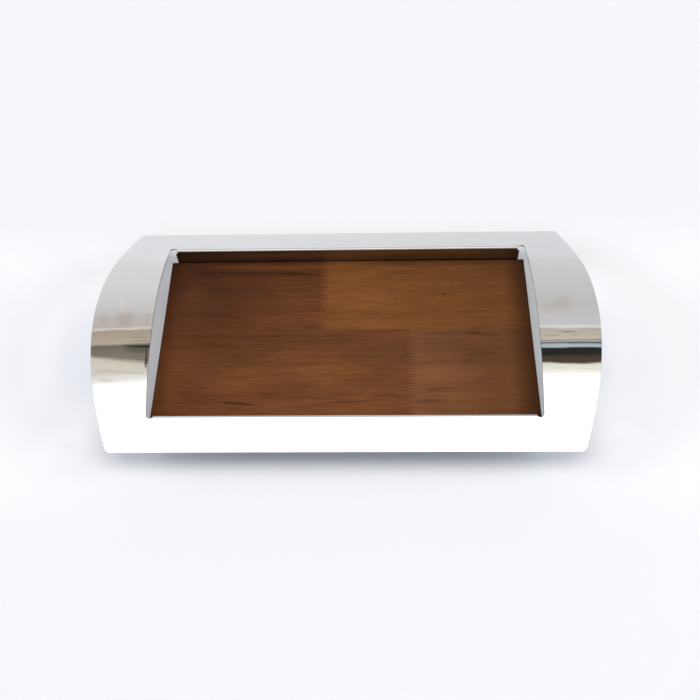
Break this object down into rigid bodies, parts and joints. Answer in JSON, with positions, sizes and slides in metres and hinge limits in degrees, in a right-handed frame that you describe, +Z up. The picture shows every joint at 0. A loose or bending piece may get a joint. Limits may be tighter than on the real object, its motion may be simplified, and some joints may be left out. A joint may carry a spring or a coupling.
{
  "type": "serving tray",
  "caption": "Long serving tray with an arched polished steel frame whose end bands are the handles, and a flat dark wooden board held in its opening.",
  "frame": {"origin": "on the table, under the middle of the tray", "axes": "+X along the tray's length from one handle to the other, +Y towards its back, +Z up"},
  "size_m": [0.56, 0.298, 0.0731],
  "materials": {
    "polished_steel": "mirror-polished stainless steel",
    "walnut_wood": "dark walnut stain under satin lacquer",
    "black_rubber": "moulded black rubber",
    "zinc_steel": "bright zinc plate"
  },
  "bodies": {
    "root": {"frame": "polished_steel", "stave_back_left": "walnut_wood", "stave_back_right": "walnut_wood", "stave_front_left": "walnut_wood", "stave_front_right": "walnut_wood", "foot_back_left": "black_rubber", "washer_back_left": "zinc_steel", "foot_screw_back_left": "zinc_steel", "lip_screw_back_left": "zinc_steel", "foot_back_right": "black_rubber", "washer_back_right": "zinc_steel", "foot_screw_back_right": "zinc_steel", "lip_screw_back_right": "zinc_steel", "foot_front_left": "black_rubber", "washer_front_left": "zinc_steel", "foot_screw_front_left": "zinc_steel", "lip_screw_front_left": "zinc_steel", "foot_front_right": "black_rubber", "washer_front_right": "zinc_steel", "foot_screw_front_right": "zinc_steel", "lip_screw_front_right": "zinc_steel"}
  },
  "joints": []
}
